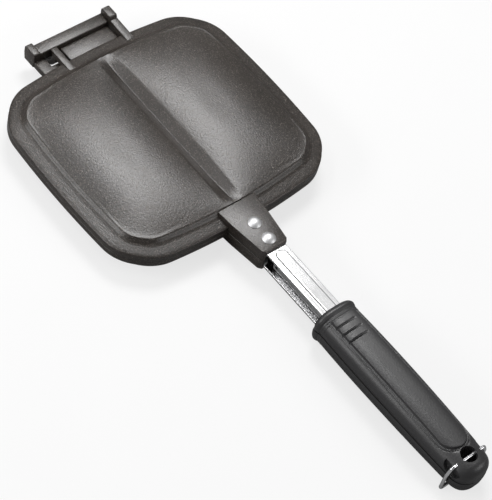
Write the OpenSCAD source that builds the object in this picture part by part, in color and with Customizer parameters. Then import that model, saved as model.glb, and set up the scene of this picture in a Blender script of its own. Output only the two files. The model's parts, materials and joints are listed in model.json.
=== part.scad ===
// Pie iron for two toasted sandwiches. Two cast plates meet at a parting plane
// and turn on an open hinge. Each carries a pressed strip shank, riveted into
// its socket, and half of the handle. A wire clasp in the tail of the upper
// handle swings under the lower one and holds the iron shut.
// Drawn with the middle of the plates on the parting plane at the origin,
// +X toward the handles and +Z up, then moved so that it stands on z = 0.

/* [Plates] */
// Length of a plate, before its ends bow out
plate_l = 129.5; // [115:0.5:160]
// Width of a plate, before its sides bow out
plate_w = 146; // [130:0.5:180]
// Corner radius of the rim
rim_corner_r = 24.7; // [20:0.1:32]
// Bow of each end of the outline
end_bow = 5; // [1:0.1:8]
// Bow of each side of the outline
side_bow = 2.6; // [0:0.1:6]
// Thickness of one plate's rim
rim_t = 4; // [3:0.1:5]
// Width of the rim outside the shoulder
rim_w = 10.2; // [8.6:0.1:12]
// Radius of the rim's upper edge
rim_edge_r = 0.8; // [0.3:0.1:1.4]
// Height of the shoulder above the parting plane
shoulder_h = 7.6; // [6.6:0.1:9]
// Corner radius of the shoulder
shoulder_r = 13.4; // [10:0.1:18]
// Width of the steep step below the shoulder
step_w = 2.6; // [1.6:0.1:4]
// Height of the step's foot, from which the rim slopes to its edge
step_foot_h = 5.5; // [5:0.1:6]
// Height of a pillow's flat top above the shoulder
pillow_rise = 4.4; // [2:0.1:6]
// Wall of the pillows
wall_t = 2.6; // [2:0.1:3.4]
// Depth of the crease between the pillows, below the shoulder
crease_depth = 2.2; // [0.5:0.1:2.5]
// Half width of the crease
crease_w = 5.4; // [4:0.1:10]
// Gap that the pressing ridge leaves above the parting plane
ridge_gap = 0.8; // [0.4:0.1:2]

/* [Hinge] */
// Distance from the plate's end to the hinge axis
hinge_reach = 14.9; // [13:0.1:20]
// Height of the hinge axis above the parting plane
hinge_h = 1; // [0:0.1:2]
// Width of the hinge bar
bar_w = 7.5; // [5:0.1:8]
// Height of the hinge bar
bar_h = 7.2; // [5:0.1:8]
// Left end of the hinge bar
bar_left = 27.5; // [24:0.5:34]
// Right end of the hinge bar
bar_right = 20.2; // [16:0.1:26]
// Radius of the journal at the bar's right end
journal_r = 2.6; // [1.8:0.1:3.2]
// Radial clearance of the journal in the knuckle
journal_fit = 0.06; // [0.02:0.01:0.1]
// Thickness of the knuckle along the axis
knuckle_t = 5; // [4:0.1:8]
// Height of the knuckle above the axis
knuckle_h = 7.4; // [5.5:0.1:9]
// Thickness of the hook along the axis
hook_t = 4; // [3:0.1:6]
// Distance of the hook's middle from the plate's middle line
hook_y = 19; // [18:0.1:21]
// Radial wall of the hook
hook_wall = 3.4; // [2.5:0.1:4.5]
// Clearance between the moving parts of the hinge
hinge_gap = 0.3; // [0.2:0.05:0.6]

/* [Sockets and shanks] */
// Half width of the socket where it leaves the plate
socket_root_w = 13.4; // [11:0.1:16]
// Half width of the socket at its mouth
socket_mouth_w = 8.6; // [8:0.1:10]
// Length of the socket beyond the plate's rim
socket_l = 25.4; // [24:0.1:32]
// Thickness of the socket's top over the shank
socket_top_t = 1.6; // [1.2:0.1:2.4]
// Width of a shank
shank_w = 13; // [10:0.1:14]
// Thickness of a shank's strip
shank_t = 1.7; // [1.2:0.1:2.2]
// Width of the bead pressed along a shank
bead_w = 7.8; // [5:0.1:9]
// Height of the bead above the strip
bead_h = 0.9; // [0.4:0.1:1.4]
// Free length of a shank between socket and handle
shank_free_l = 46.8; // [30:0.1:90]
// Length of the shank's tang inside the handle
tang_l = 62; // [50:0.5:75]
// Radius of a rivet's domed head
rivet_head_r = 4; // [3:0.1:4.5]
// Height of a rivet's domed head
rivet_head_h = 1.9; // [1:0.1:2.4]
// Radius of a rivet's body
rivet_r = 2.2; // [1.5:0.1:2.6]
// Distance between the two rivets
rivet_pitch = 12.1; // [10:0.1:13]

/* [Handles] */
// Length of a handle
handle_l = 117.5; // [105:0.5:150]
// Half width of a handle at its fullest
handle_w = 13.2; // [11.6:0.1:16]
// Height of a handle half under its panel
handle_h = 11.6; // [10.8:0.1:14]
// Rise of the panel on a handle
panel_rise = 1; // [0.4:0.1:1.6]
// Half width of the panel
panel_w = 8; // [6:0.1:9]
// Half gap between the two handles
handle_gap = 0.1; // [0.05:0.05:0.5]
// Radius of the hang hole
hang_r = 4.7; // [3.5:0.1:5.2]
// Distance of the hang hole from the handle's end
hang_inset = 11; // [10:0.1:14]

/* [Clasp] */
// Radius of the clasp wire
wire_r = 0.95; // [0.7:0.05:1.2]
// Height of the clasp's pivot above the parting plane
clasp_h = 7.8; // [6:0.1:8.4]
// Distance from the pivot to the bar that holds the lower handle
clasp_reach = 18.7; // [18:0.1:19.6]
// Radial clearance of the wire in its pivot bore
clasp_fit = 0.06; // [0.02:0.01:0.1]
// Clearance of the swinging wire past the handles
clasp_gap = 0.35; // [0.3:0.05:0.6]

/* [Hidden] */
$fn = 48;

cast_colour = "#3f3c3a";
steel_colour = "#d5d6d8";
grip_colour = "#2a2a2c";

// Plate outline: half lengths of the rim and of the shoulder
rim_half = [plate_l / 2, plate_w / 2];
plate_end_x = plate_l / 2 + end_bow;
mouth_inset = 0.3;
cavity_run = 4.5;
ridge_slope = 1.5;
flat_lift = 1.03;
radius_per_mm = (rim_corner_r - shoulder_r) / rim_w;
bows = [end_bow, side_bow];
cols = 10;
rows = 14;
side_crowding = 0.6;
step_ease = 0.5;
crease_crowding = 0.75;

// Hinge
hinge_x = -plate_end_x - hinge_reach;
knuckle_r = 4.3;
arm_t = 7;
arm_top = -2.2;
arm_bottom = -8.6;
head_t = 4;
head_top = hinge_h + bar_h / 2 + 0.9;
tongue_left = 13.8;
tongue_right = bar_right - 1.7;
tongue_top = 1.6;
tongue_bottom = -3.4;
lug_root = 7.5;
lug_root_x = -plate_end_x + lug_root;
hook_inner_r = norm([bar_w, bar_h]) / 2 + hinge_gap + 0.5;
hook_outer_r = hook_inner_r + hook_wall;
hook_from = -125;
lug_top = hinge_h + 4.2;
lug_bottom = hinge_h + 0.3;
hinge_far_x = hinge_x - bar_w / 2 - 1.9;

// Socket, shank and rivets
socket_h = shoulder_h + 0.15;
socket_x = plate_end_x + socket_l;
socket_back_x = plate_end_x - rim_w + 0.7;
mouth_chamfer = 1.9;
shank_top = socket_h - socket_top_t;
shank_bottom = shank_top - shank_t;
slot_fit = 0.05;
shank_x = plate_end_x + 1.2;
slot_x = shank_x - 0.3;
rivet_x = socket_x - 6.8 - rivet_pitch;
rivet_tail_r = 3.2;
rivet_tail_h = 1;
bead_x = socket_x + 1.5;
bead_slope = 0.9;

// Handle
handle_x = socket_x + shank_free_l;
handle_end_x = handle_x + handle_l;
tang_x = handle_x + tang_l;
fullest_at = 0.35;
front_slim = 0.7;
tail_slim = 1.3;
front_sink = 0.7;
tail_sink = 1.2;
body_power = 2.9;
tail_power = 2.2;
collar_x = 2.8;
collar_reach = 2.9;
collar_rise = 0.9;
front_r = 1.5;
tail_plan_r = 9;
tail_side_r = 5;
panel_foot = 0.5;
panel_end_x = handle_end_x - hang_inset - hang_r - 0.8;
panel_stub = 0.6;
panel_from = 5;
panel_ramp = 3;
body_steps = 6;
panel_steps = 3;
groove_x = handle_x + 12;
groove_pitch = 5.2;
groove_r = 14;
groove_depth = 0.8;
groove_w = 1.2;
groove_y = -2.5;
core_x = handle_x + 8;
core_w = 5;
core_r = 2;
tail_core_x = tang_x + 6;
tail_core_l = 26;
tail_core_w = 7.5;
tail_core_h = 6;
screw_inset = 19;
screw_x = tang_x - screw_inset;
screw_r = 1.9;
screw_head_r = 3.6;
screw_head_h = 2.1;
screw_l = 6;
screw_fit = 0.05;

// Clasp
clasp_x = handle_end_x - 10.5;
clasp_knee = [13.75, 5.4];
clasp_shoulder_y = 11.4;
bend_r = 2.2;
bend_step = 15;
wire_sides = 14;
bail_r = wire_r - 0.02;
clasp_pin_y = 9.9;
relief_r = 6.1;
relief_floor_y = 9.9;
tail_arc_r = clasp_reach - wire_r - clasp_gap;
notch_w = wire_r + clasp_gap;

// ---- plate shell -----------------------------------------------------------

// Steps from 0 to 1, closer together at both ends
function eased(t, crowding) = t - crowding * sin(360 * t) / (2 * PI);

function grid_steps(n, crowding) = [for (i = [-n:n]) sign(i) * eased(abs(i) / n, crowding)];

us = grid_steps(cols, side_crowding);
vs = grid_steps(rows, crease_crowding);

// Distance along a side at which the corner arc reaches 45 degrees
function mitre(half, r) = half - r * (1 - sqrt(0.5));

// How far a side of the outline stands out, at a place along it
function side_reach(along, near, far, r, bow) =
    let (past = max(0, abs(along) - (far - r)))
    near - r + sqrt(r * r - past * past) + bow * (1 - pow(along / mitre(far, r), 2));

// A point of the bowed and rounded outline, scaled inward for inner grid points
function outline_point(u, v, half, r) =
    let (m = max(abs(u), abs(v)))
    m == 0 ? [0, 0] :
    abs(u) >= abs(v) ?
        let (y = v / m * mitre(half.y, r))
        [sign(u) * m * side_reach(y, half.x, half.y, r, bows.x), m * y] :
        let (x = u / m * mitre(half.x, r))
        [m * x, sign(v) * m * side_reach(x, half.y, half.x, r, bows.y)];

// Outline at a distance outside the shoulder
function ring_half(out) = [rim_half.x - rim_w + out, rim_half.y - rim_w + out];

function ring_r(out) = shoulder_r + radius_per_mm * out;

// Swell of a pillow, 0 at the shoulder and the crease and 1 on its flat top
function swell(u, v) =
    min(1, flat_lift * (1 - pow(abs(2 * abs(v) - 1), 2.3)) * (1 - pow(abs(u), 2.6)));

function crease(u, y) = crease_depth * max(0, 1 - abs(y) / crease_w) * (1 - pow(abs(u), 6));

function ridge_limit(y) = ridge_gap + ridge_slope * abs(y);

function top_z(u, v, y) = shoulder_h + pillow_rise * swell(u, v) - crease(u, y);

function cavity_z(u, v, y) = min(shoulder_h - wall_t + pillow_rise * swell(u, v), ridge_limit(y));

// Grid indices round the edge, and the matching u and v
edge_ids = concat(
    [for (i = [0:2 * cols - 1]) [i, 0]],
    [for (j = [0:2 * rows - 1]) [2 * cols, j]],
    [for (i = [2 * cols:-1:1]) [i, 2 * rows]],
    [for (j = [2 * rows:-1:1]) [0, j]]
);

function grid_id(i, j) = j * (2 * cols + 1) + i;

// Section of the rim: distance outside the shoulder, and height
step_steps = 4;
cavity_steps = 3;
rim_section = concat(
    [for (k = [1:step_steps])
        let (t = k / step_steps)
        [step_w * t, shoulder_h - (shoulder_h - step_foot_h) * eased(t, step_ease)]],
    [for (a = [70, 35, 0])
        [rim_w - rim_edge_r + rim_edge_r * cos(a), rim_t - rim_edge_r + rim_edge_r * sin(a)]],
    [[rim_w, 0], [mouth_inset, 0]],
    [for (k = [1:cavity_steps])
        let (a = 90 * k / (cavity_steps + 1))
        [mouth_inset - cavity_run * (1 - cos(a)), (shoulder_h - wall_t) * sin(a)]]
);
cavity_out = mouth_inset - cavity_run;

module plate_shell() {
    per_grid = (2 * cols + 1) * (2 * rows + 1);
    per_ring = len(edge_ids);
    rings = len(rim_section);
    top_points = [for (v = vs, u = us)
        let (p = outline_point(u, v, ring_half(0), ring_r(0)))
        [p.x, p.y, top_z(u, v, p.y)]];
    ring_points = [for (s = rim_section, e = edge_ids)
        let (p = outline_point(us[e.x], vs[e.y], ring_half(s.x), ring_r(s.x)))
        [p.x, p.y, s.x < mouth_inset ? min(s.y, ridge_limit(p.y)) : s.y]];
    cavity_points = [for (v = vs, u = us)
        let (p = outline_point(u, v, ring_half(cavity_out), ring_r(cavity_out)))
        [p.x, p.y, cavity_z(u, v, p.y)]];
    function ring_id(k, e) = k < 0 ? grid_id(edge_ids[e].x, edge_ids[e].y) :
        k == rings ? per_grid + rings * per_ring + grid_id(edge_ids[e].x, edge_ids[e].y) :
        per_grid + k * per_ring + e;
    cells = [for (j = [0:2 * rows - 1], i = [0:2 * cols - 1])
        [grid_id(i, j), grid_id(i, j + 1), grid_id(i + 1, j + 1), grid_id(i + 1, j)]];
    shift = per_grid + rings * per_ring;
    top_faces = [for (c = cells) each [[c[0], c[1], c[2]], [c[0], c[2], c[3]]]];
    cavity_faces = [for (c = cells) each
        [[c[2] + shift, c[1] + shift, c[0] + shift], [c[3] + shift, c[2] + shift, c[0] + shift]]];
    ring_faces = [for (k = [-1:rings - 1], e = [0:per_ring - 1])
        let (n = (e + 1) % per_ring)
        each [[ring_id(k, e), ring_id(k, n), ring_id(k + 1, n)],
              [ring_id(k, e), ring_id(k + 1, n), ring_id(k + 1, e)]]];
    polyhedron(
        concat(top_points, ring_points, cavity_points),
        concat(top_faces, ring_faces, cavity_faces)
    );
}

// ---- sockets, shanks and rivets --------------------------------------------

module socket_blank() {
    root = [socket_back_x, socket_root_w];
    mouth = [socket_x - mouth_chamfer, socket_mouth_w];
    translate([0, 0, handle_gap])
        linear_extrude(socket_h - handle_gap)
            polygon([
                [root.x, -root.y], [root.x, root.y],
                [plate_end_x + 3.2, root.y - 1.1], [mouth.x, mouth.y],
                [socket_x, mouth.y - mouth_chamfer * 0.85], [socket_x, -mouth.y + mouth_chamfer * 0.85],
                [mouth.x, -mouth.y], [plate_end_x + 3.2, -root.y + 1.1]
            ]);
}

module socket_slot() {
    reach = socket_x - slot_x + 1;
    translate([slot_x, -shank_w / 2 - slot_fit, -1])
        cube([reach, shank_w + 2 * slot_fit, shank_top + 1]);
}

module rivet_places() {
    for (i = [0:1]) translate([rivet_x + i * rivet_pitch, 0, 0]) children();
}

module rivet_holes() {
    rivet_places() translate([0, 0, shank_bottom - 1]) cylinder(r = rivet_r, h = socket_h);
}

// Strip with one long pressed bead, hollow underneath
module shank() {
    strip_l = tang_x - shank_x;
    bead_l = tang_x - bead_x;
    difference() {
        union() {
            translate([shank_x, -shank_w / 2, shank_bottom]) cube([strip_l, shank_w, shank_t]);
            bead(bead_w / 2, bead_h, shank_top, bead_l);
        }
        bead(bead_w / 2 - shank_t * 0.6, bead_h, shank_bottom, bead_l + 1);
        rivet_holes();
        translate([screw_x, 0, shank_bottom - 1])
            cylinder(r = screw_r + screw_fit, h = shank_t + bead_h + 2);
    }
}

// Raised bead with sloping sides and a round front end
module bead(half_w, h, z, l) {
    sink = 0.02;
    profile = [[0, -sink], [half_w, -sink], [half_w, 0], [half_w - bead_slope, h], [0, h]];
    translate([bead_x + half_w, 0, z]) {
        rotate_extrude() polygon(profile);
        rotate([90, 0, 90])
            linear_extrude(l - half_w)
                polygon(concat(profile, [for (i = [4:-1:1]) [-profile[i].x, profile[i].y]]));
    }
}

module rivets() {
    dome_r = (rivet_head_r * rivet_head_r + rivet_head_h * rivet_head_h) / (2 * rivet_head_h);
    rivet_places() {
        translate([0, 0, socket_h])
            rotate_extrude()
                intersection() {
                    translate([0, rivet_head_h - dome_r]) circle(dome_r, $fn = 96);
                    square([rivet_head_r, rivet_head_h]);
                }
        translate([0, 0, shank_bottom - rivet_tail_h]) cylinder(r = rivet_tail_r, h = rivet_tail_h);
        translate([0, 0, shank_bottom - rivet_tail_h])
            cylinder(r = rivet_r, h = socket_h - shank_bottom + rivet_tail_h + 0.01);
    }
}

// ---- hinge -----------------------------------------------------------------

// Outline in the X-Z plane, carried from one y to another
module side_slab(y_from, y_to, points) {
    translate([0, y_to, 0]) rotate([90, 0, 0]) linear_extrude(y_to - y_from) polygon(points);
}

module hinge_bar() {
    translate([hinge_x - bar_w / 2, -bar_left - 0.5, hinge_h - bar_h / 2])
        cube([bar_w, bar_right + bar_left + 0.5, bar_h]);
    translate([hinge_x, bar_right - 1, hinge_h])
        rotate([-90, 0, 0]) cylinder(r = journal_r, h = 1 + hinge_gap + knuckle_t);
}

module hinge_bar_head() {
    side_slab(-bar_left - head_t, -bar_left, [
        [hinge_far_x + 1.2, head_top], [hinge_far_x, head_top - 1.6], [hinge_far_x, arm_bottom + 5],
        [hinge_far_x + 3.2, arm_bottom + 1], [hinge_x + bar_w / 2, arm_bottom],
        [hinge_x + bar_w / 2, head_top - 1], [hinge_x + bar_w / 2 - 0.6, head_top]
    ]);
}

module hinge_outer_arm() {
    root_x = lug_root_x + 1.5;
    side_slab(-bar_left - head_t + 0.5, -bar_left - head_t + 0.5 + arm_t, [
        [hinge_far_x + 2.2, arm_top], [hinge_far_x + 4, arm_bottom + 1], [hinge_x + bar_w / 2, arm_bottom],
        [-plate_end_x - 1, arm_bottom], [root_x, arm_bottom + 1.8], [root_x, arm_top]
    ]);
}

module hinge_tongue() {
    free_x = -plate_end_x - 0.6;
    side_slab(-tongue_left, tongue_right, [
        [hinge_x + bar_w / 2 - 1, tongue_bottom], [hinge_x + bar_w / 2 - 1, tongue_top],
        [free_x, tongue_top], [free_x, -hinge_gap],
        [free_x + lug_root, -hinge_gap], [free_x + lug_root, tongue_bottom]
    ]);
}

// Outline of the hook and its arm about the hinge axis, open at the far side
module hook_outline() {
    far = 2 * hook_outer_r;
    end = far * [cos(hook_from), sin(hook_from)];
    difference() {
        union() {
            circle(hook_outer_r, $fn = 96);
            translate([hook_inner_r, lug_bottom - hinge_h])
                square([lug_root_x - hinge_x - hook_inner_r, lug_top - lug_bottom]);
        }
        circle(hook_inner_r, $fn = 96);
        translate([-far, lug_top - hinge_h]) square([2 * far, far]);
        polygon([[0, 0], end, [-far, end.y], [-far, far], [0, far]]);
    }
}

// Hook that passes under the bar
module hinge_hook() {
    translate([hinge_x, -hook_y + hook_t / 2, hinge_h])
        rotate([90, 0, 0]) linear_extrude(hook_t) hook_outline();
}

module knuckle_blank() {
    y_from = bar_right + hinge_gap;
    side_slab(y_from, y_from + knuckle_t, [
        [hinge_x - knuckle_r, hinge_h], [hinge_x - knuckle_r, hinge_h + knuckle_h - 1],
        [hinge_x - knuckle_r + 1, hinge_h + knuckle_h], [hinge_x + knuckle_r - 0.6, hinge_h + knuckle_h],
        [hinge_x + knuckle_r, hinge_h + knuckle_h - 0.8], [hinge_x + knuckle_r + 0.6, lug_top + 0.8],
        [lug_root_x - 1, lug_top], [lug_root_x - 1, lug_bottom],
        [hinge_x + knuckle_r, lug_bottom], [hinge_x + knuckle_r, hinge_h]
    ]);
    translate([hinge_x, y_from, hinge_h]) rotate([-90, 0, 0]) cylinder(r = knuckle_r, h = knuckle_t);
}

module knuckle_bore() {
    translate([hinge_x, bar_right, hinge_h])
        rotate([-90, 0, 0]) cylinder(r = journal_r + journal_fit, h = hinge_gap + knuckle_t + 1);
}

// ---- handles ---------------------------------------------------------------

// 1 at a place along the handle, falling smoothly to 0 on both sides
function bump(x, at, reach) =
    let (t = min(1, abs(x - at) / reach)) (1 + cos(180 * t)) / 2;

function fade(x, slim_front, slim_tail) =
    let (t = x / handle_l)
    let (front = max(0, 1 - t / fullest_at), tail = max(0, (t - fullest_at) / (1 - fullest_at)))
    slim_front * front * front + slim_tail * tail * tail;

// Drop of a rounded end of radius r, at a distance inside it
function end_round(inside, r) = inside >= r ? 0 : r - sqrt(max(0, r * r - pow(r - max(0, inside), 2)));

function collar(x) = collar_rise * bump(x, collar_x, collar_reach);

function half_width(x) = handle_w - fade(x, front_slim, tail_slim) + collar(x)
    - end_round(x, front_r) - end_round(handle_l - x, tail_plan_r);

function half_height(x, sink) = handle_h - fade(x, front_sink, sink) + collar(x)
    - end_round(x, front_r) - end_round(handle_l - x, tail_side_r);

function roundness(x) = body_power - (body_power - tail_power) * pow(x / handle_l, 3);

// Half width of the panel, which ends in a half circle before the hang hole
function panel_half(x) =
    let (past = max(0, x - (panel_end_x - handle_x - panel_w)))
    past >= panel_w ? panel_stub : max(panel_stub, sqrt(panel_w * panel_w - past * past));

function panel_height(x) =
    x > panel_end_x - handle_x - 0.01 ? 0 : panel_rise * min(1, max(0, (x - panel_from) / panel_ramp));

// One cross section of a handle half, from its right edge over the top to its left
function grip_section(x, sink) =
    let (
        w = half_width(x), h = half_height(x, sink) - handle_gap, n = roundness(x),
        p = min(panel_half(x), w * 0.62), rise = panel_height(x),
        foot = acos(pow((p + panel_foot) / w, n / 2)),
        body = [for (k = [0:body_steps])
            let (a = foot * k / body_steps) [w * pow(cos(a), 2 / n), h * pow(sin(a), 2 / n)]],
        panel = [for (k = [0:panel_steps])
            let (y = p * (1 - k / panel_steps)) [y, h * pow(1 - pow(y / w, n), 1 / n) + rise]],
        side = concat(body, panel)
    )
    concat(side, [for (k = [len(side) - 2:-1:0]) [-side[k].x, side[k].y]]);

// Stations along the handle, closer together at its ends
front_stations = [for (k = [0:7]) k * 0.85];
middle_stations = [for (k = [1:9])
    let (from = front_stations[7], to = panel_end_x - handle_x - panel_w)
    from + (to - from) * k / 9];
panel_stations = [for (a = [20:14:90]) panel_end_x - handle_x - panel_w * (1 - sin(a))];
tail_stations = [for (k = [0:8])
    let (from = panel_end_x - handle_x + 0.4)
    from + (handle_l - from) * sin(90 * k / 8)];
stations = concat(front_stations, middle_stations, panel_stations, tail_stations);

// Where the finished model stands
model_x = (hinge_far_x + handle_end_x) / 2;
model_drop = max(shoulder_h + pillow_rise, max([for (x = stations) half_height(x, 0) + panel_height(x)]));

module place() {
    translate([-model_x, 0, model_drop]) children();
}

module flipped() {
    mirror([0, 0, 1]) children();
}

module grip_solid(sink) {
    sections = [for (x = stations) grip_section(x, sink)];
    n = len(sections[0]);
    last = len(stations) - 1;
    points = [for (k = [0:last], p = sections[k]) [handle_x + stations[k], p.x, p.y + handle_gap]];
    skin = [for (k = [0:last - 1], i = [0:n - 1])
        let (j = (i + 1) % n, a = k * n, b = (k + 1) * n)
        each [[a + i, a + j, b + j], [a + i, b + j, b + i]]];
    polyhedron(points, concat(skin, [[for (i = [n - 1:-1:0]) i]], [[for (i = [0:n - 1]) last * n + i]]));
}

// Slot for the tang, core pockets, screw hole and hang hole of a handle half
module grip_cuts() {
    translate([handle_x - 1, -shank_w / 2 - slot_fit, shank_bottom])
        cube([tang_l + 1 + slot_fit, shank_w + 2 * slot_fit, shank_t]);
    translate([handle_x - 1, -bead_w / 2 - slot_fit, shank_bottom])
        cube([tang_l + 1 + slot_fit, bead_w + 2 * slot_fit, shank_t + bead_h]);
    translate([core_x, 0, -1]) rounded_block(tang_x - core_x - 4, core_w, shank_bottom + 1.2);
    translate([tail_core_x, 0, -1]) rounded_block(tail_core_l, tail_core_w, tail_core_h + 1);
    translate([screw_x, 0, shank_bottom]) cylinder(r = screw_r, h = screw_l + shank_t);
    translate([handle_end_x - hang_inset, 0, -1]) cylinder(r = hang_r, h = handle_h + panel_rise + 2);
}

// Block along X with rounded vertical edges
module rounded_block(l, half_w, h) {
    linear_extrude(h) {
        translate([core_r, -half_w]) square([l - 2 * core_r, 2 * half_w]);
        translate([0, -half_w + core_r]) square([l, 2 * (half_w - core_r)]);
        for (x = [core_r, l - core_r], y = [-1, 1])
            translate([x, y * (half_w - core_r)]) circle(core_r);
    }
}

module finger_grooves() {
    top = handle_h + panel_rise - groove_depth;
    for (i = [0:2])
        translate([groove_x + i * groove_pitch - groove_w / 2, groove_y, top + groove_r])
            rotate([0, 90, 0]) cylinder(r = groove_r, h = groove_w, $fn = 96);
}

module handle_screw() {
    translate([screw_x, 0, shank_bottom - screw_head_h]) cylinder(r = screw_head_r, h = screw_head_h);
    translate([screw_x, 0, shank_bottom - 0.01]) cylinder(r = screw_r, h = screw_l + 0.01);
}

// ---- clasp -----------------------------------------------------------------

module clasp_pivot_cut() {
    translate([clasp_x, -handle_w - 2, clasp_h])
        rotate([-90, 0, 0]) cylinder(r = wire_r + clasp_fit, h = 2 * handle_w + 4);
    for (side = [-1, 1])
        translate([clasp_x, side * (relief_floor_y + handle_w) , clasp_h])
            rotate([90, 0, 0]) cylinder(r = relief_r, h = 2 * handle_w, center = true);
}

// Room under the lower handle's tail for the wire to lie in and swing out of
module clasp_tail_cut() {
    difference() {
        translate([clasp_x - notch_w, -handle_w - 2, -handle_h - panel_rise - 3])
            cube([handle_l, 2 * handle_w + 4, handle_h + panel_rise + 3 - 2.5]);
        translate([clasp_x, -handle_w - 3, clasp_h])
            rotate([-90, 0, 0]) cylinder(r = tail_arc_r, h = 2 * handle_w + 6, $fn = 128);
    }
}

// Corners of the wire outside its pivot, as y and distance below the pivot
clasp_corners = [
    [-clasp_shoulder_y, 0], [-clasp_knee.x, clasp_knee.y], [-clasp_knee.x, clasp_reach],
    [clasp_knee.x, clasp_reach], [clasp_knee.x, clasp_knee.y], [clasp_shoulder_y, 0]
];

function unit(v) = v / norm(v);

// Points round one bend: a circular arc that touches both straight runs
function bend_points(before, corner, after) =
    let (
        a = unit(corner - before), b = unit(after - corner),
        turn = atan2(a.x * b.y - a.y * b.x, a * b),
        centre = corner - a * bend_r * tan(abs(turn) / 2) + sign(turn) * bend_r * [-a.y, a.x],
        first = atan2(a.y, a.x) - sign(turn) * 90,
        steps = ceil(abs(turn) / bend_step)
    )
    [for (k = [0:steps])
        let (at = first + turn * k / steps) centre + bend_r * [cos(at), sin(at)]];

clasp_ends = [[-clasp_pin_y + 0.6, 0], [clasp_pin_y - 0.6, 0]];
clasp_stops = concat([clasp_ends[0]], clasp_corners, [clasp_ends[1]]);
clasp_path = concat(
    [clasp_ends[0]],
    [for (i = [1:len(clasp_corners)])
        each bend_points(clasp_stops[i - 1], clasp_stops[i], clasp_stops[i + 1])],
    [clasp_ends[1]]
);

// Wire swept along the bail, as rings of points square to the path
module bail() {
    last = len(clasp_path) - 1;
    rings = [for (i = [0:last])
        let (
            along = unit(clasp_path[min(i + 1, last)] - clasp_path[max(i - 1, 0)]),
            at = clasp_path[i]
        )
        for (k = [0:wire_sides - 1])
            let (a = 360 * k / wire_sides, out = bail_r * cos(a))
            [bail_r * sin(a), at.x - out * along.y, -at.y - out * along.x]];
    skin = [for (i = [0:last - 1], k = [0:wire_sides - 1])
        let (n = (k + 1) % wire_sides, a = i * wire_sides, b = (i + 1) * wire_sides)
        each [[a + k, a + n, b + n], [a + k, b + n, b + k]]];
    first_cap = [for (k = [wire_sides - 1:-1:0]) k];
    last_cap = [for (k = [0:wire_sides - 1]) last * wire_sides + k];
    polyhedron(rings, concat(skin, [first_cap, last_cap]));
}

// ---- the pieces ------------------------------------------------------------

module upper_plate() {
    color(cast_colour)
        place()
            difference() {
                union() {
                    plate_shell();
                    socket_blank();
                    hinge_hook();
                    knuckle_blank();
                }
                socket_slot();
                rivet_holes();
                knuckle_bore();
            }
}

module lower_plate() {
    color(cast_colour)
        place()
            union() {
                flipped()
                    difference() {
                        union() {
                            plate_shell();
                            socket_blank();
                        }
                        socket_slot();
                        rivet_holes();
                    }
                hinge_bar();
                hinge_bar_head();
                hinge_outer_arm();
                hinge_tongue();
            }
}

module upper_shank() {
    color(steel_colour) place() shank();
}

module lower_shank() {
    color(steel_colour) place() flipped() shank();
}

module upper_rivets() {
    color(steel_colour) place() rivets();
}

module lower_rivets() {
    color(steel_colour) place() flipped() rivets();
}

module upper_handle() {
    color(grip_colour)
        place()
            difference() {
                grip_solid(tail_sink);
                grip_cuts();
                finger_grooves();
                clasp_pivot_cut();
            }
}

module lower_handle() {
    color(grip_colour)
        place()
            difference() {
                flipped()
                    difference() {
                        grip_solid(0);
                        grip_cuts();
                    }
                clasp_tail_cut();
            }
}

module upper_handle_screw() {
    color(steel_colour) place() handle_screw();
}

module lower_handle_screw() {
    color(steel_colour) place() flipped() handle_screw();
}

module clasp_wire() {
    color(steel_colour)
        place()
            translate([clasp_x, 0, clasp_h]) {
                bail();
                translate([0, -clasp_pin_y, 0])
                    rotate([-90, 0, 0]) cylinder(r = wire_r, h = 2 * clasp_pin_y);
            }
}

lower_plate();
upper_plate();
lower_shank();
upper_shank();
lower_rivets();
upper_rivets();
lower_handle();
upper_handle();
lower_handle_screw();
upper_handle_screw();
clasp_wire();
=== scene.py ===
import json
import math

import bmesh
import bpy
import numpy as np
from mathutils import Matrix, Vector


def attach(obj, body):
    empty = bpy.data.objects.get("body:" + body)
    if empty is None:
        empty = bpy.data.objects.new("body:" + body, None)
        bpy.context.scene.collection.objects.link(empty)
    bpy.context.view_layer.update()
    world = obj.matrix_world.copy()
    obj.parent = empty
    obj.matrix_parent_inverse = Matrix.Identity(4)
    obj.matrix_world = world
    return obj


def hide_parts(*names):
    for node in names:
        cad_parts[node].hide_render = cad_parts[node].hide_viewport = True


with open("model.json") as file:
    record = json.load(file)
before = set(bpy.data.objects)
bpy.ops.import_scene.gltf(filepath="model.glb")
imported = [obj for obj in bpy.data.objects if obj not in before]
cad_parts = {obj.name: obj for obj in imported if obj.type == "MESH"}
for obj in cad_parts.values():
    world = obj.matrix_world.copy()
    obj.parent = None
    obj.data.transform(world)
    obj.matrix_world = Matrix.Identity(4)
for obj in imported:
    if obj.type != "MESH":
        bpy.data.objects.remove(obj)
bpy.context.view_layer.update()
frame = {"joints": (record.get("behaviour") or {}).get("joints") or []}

# Shapes are worked out in millimetres about the middle of the plates on the parting plane,
# and pushed into the frame once, when a mesh is made.
scene = bpy.context.scene
mm = 0.001
joints = {joint["name"]: np.array(joint["pos_m"]) / mm for joint in frame["joints"]}


# sizes of the plates, the hinge, the sockets and the shanks

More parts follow.
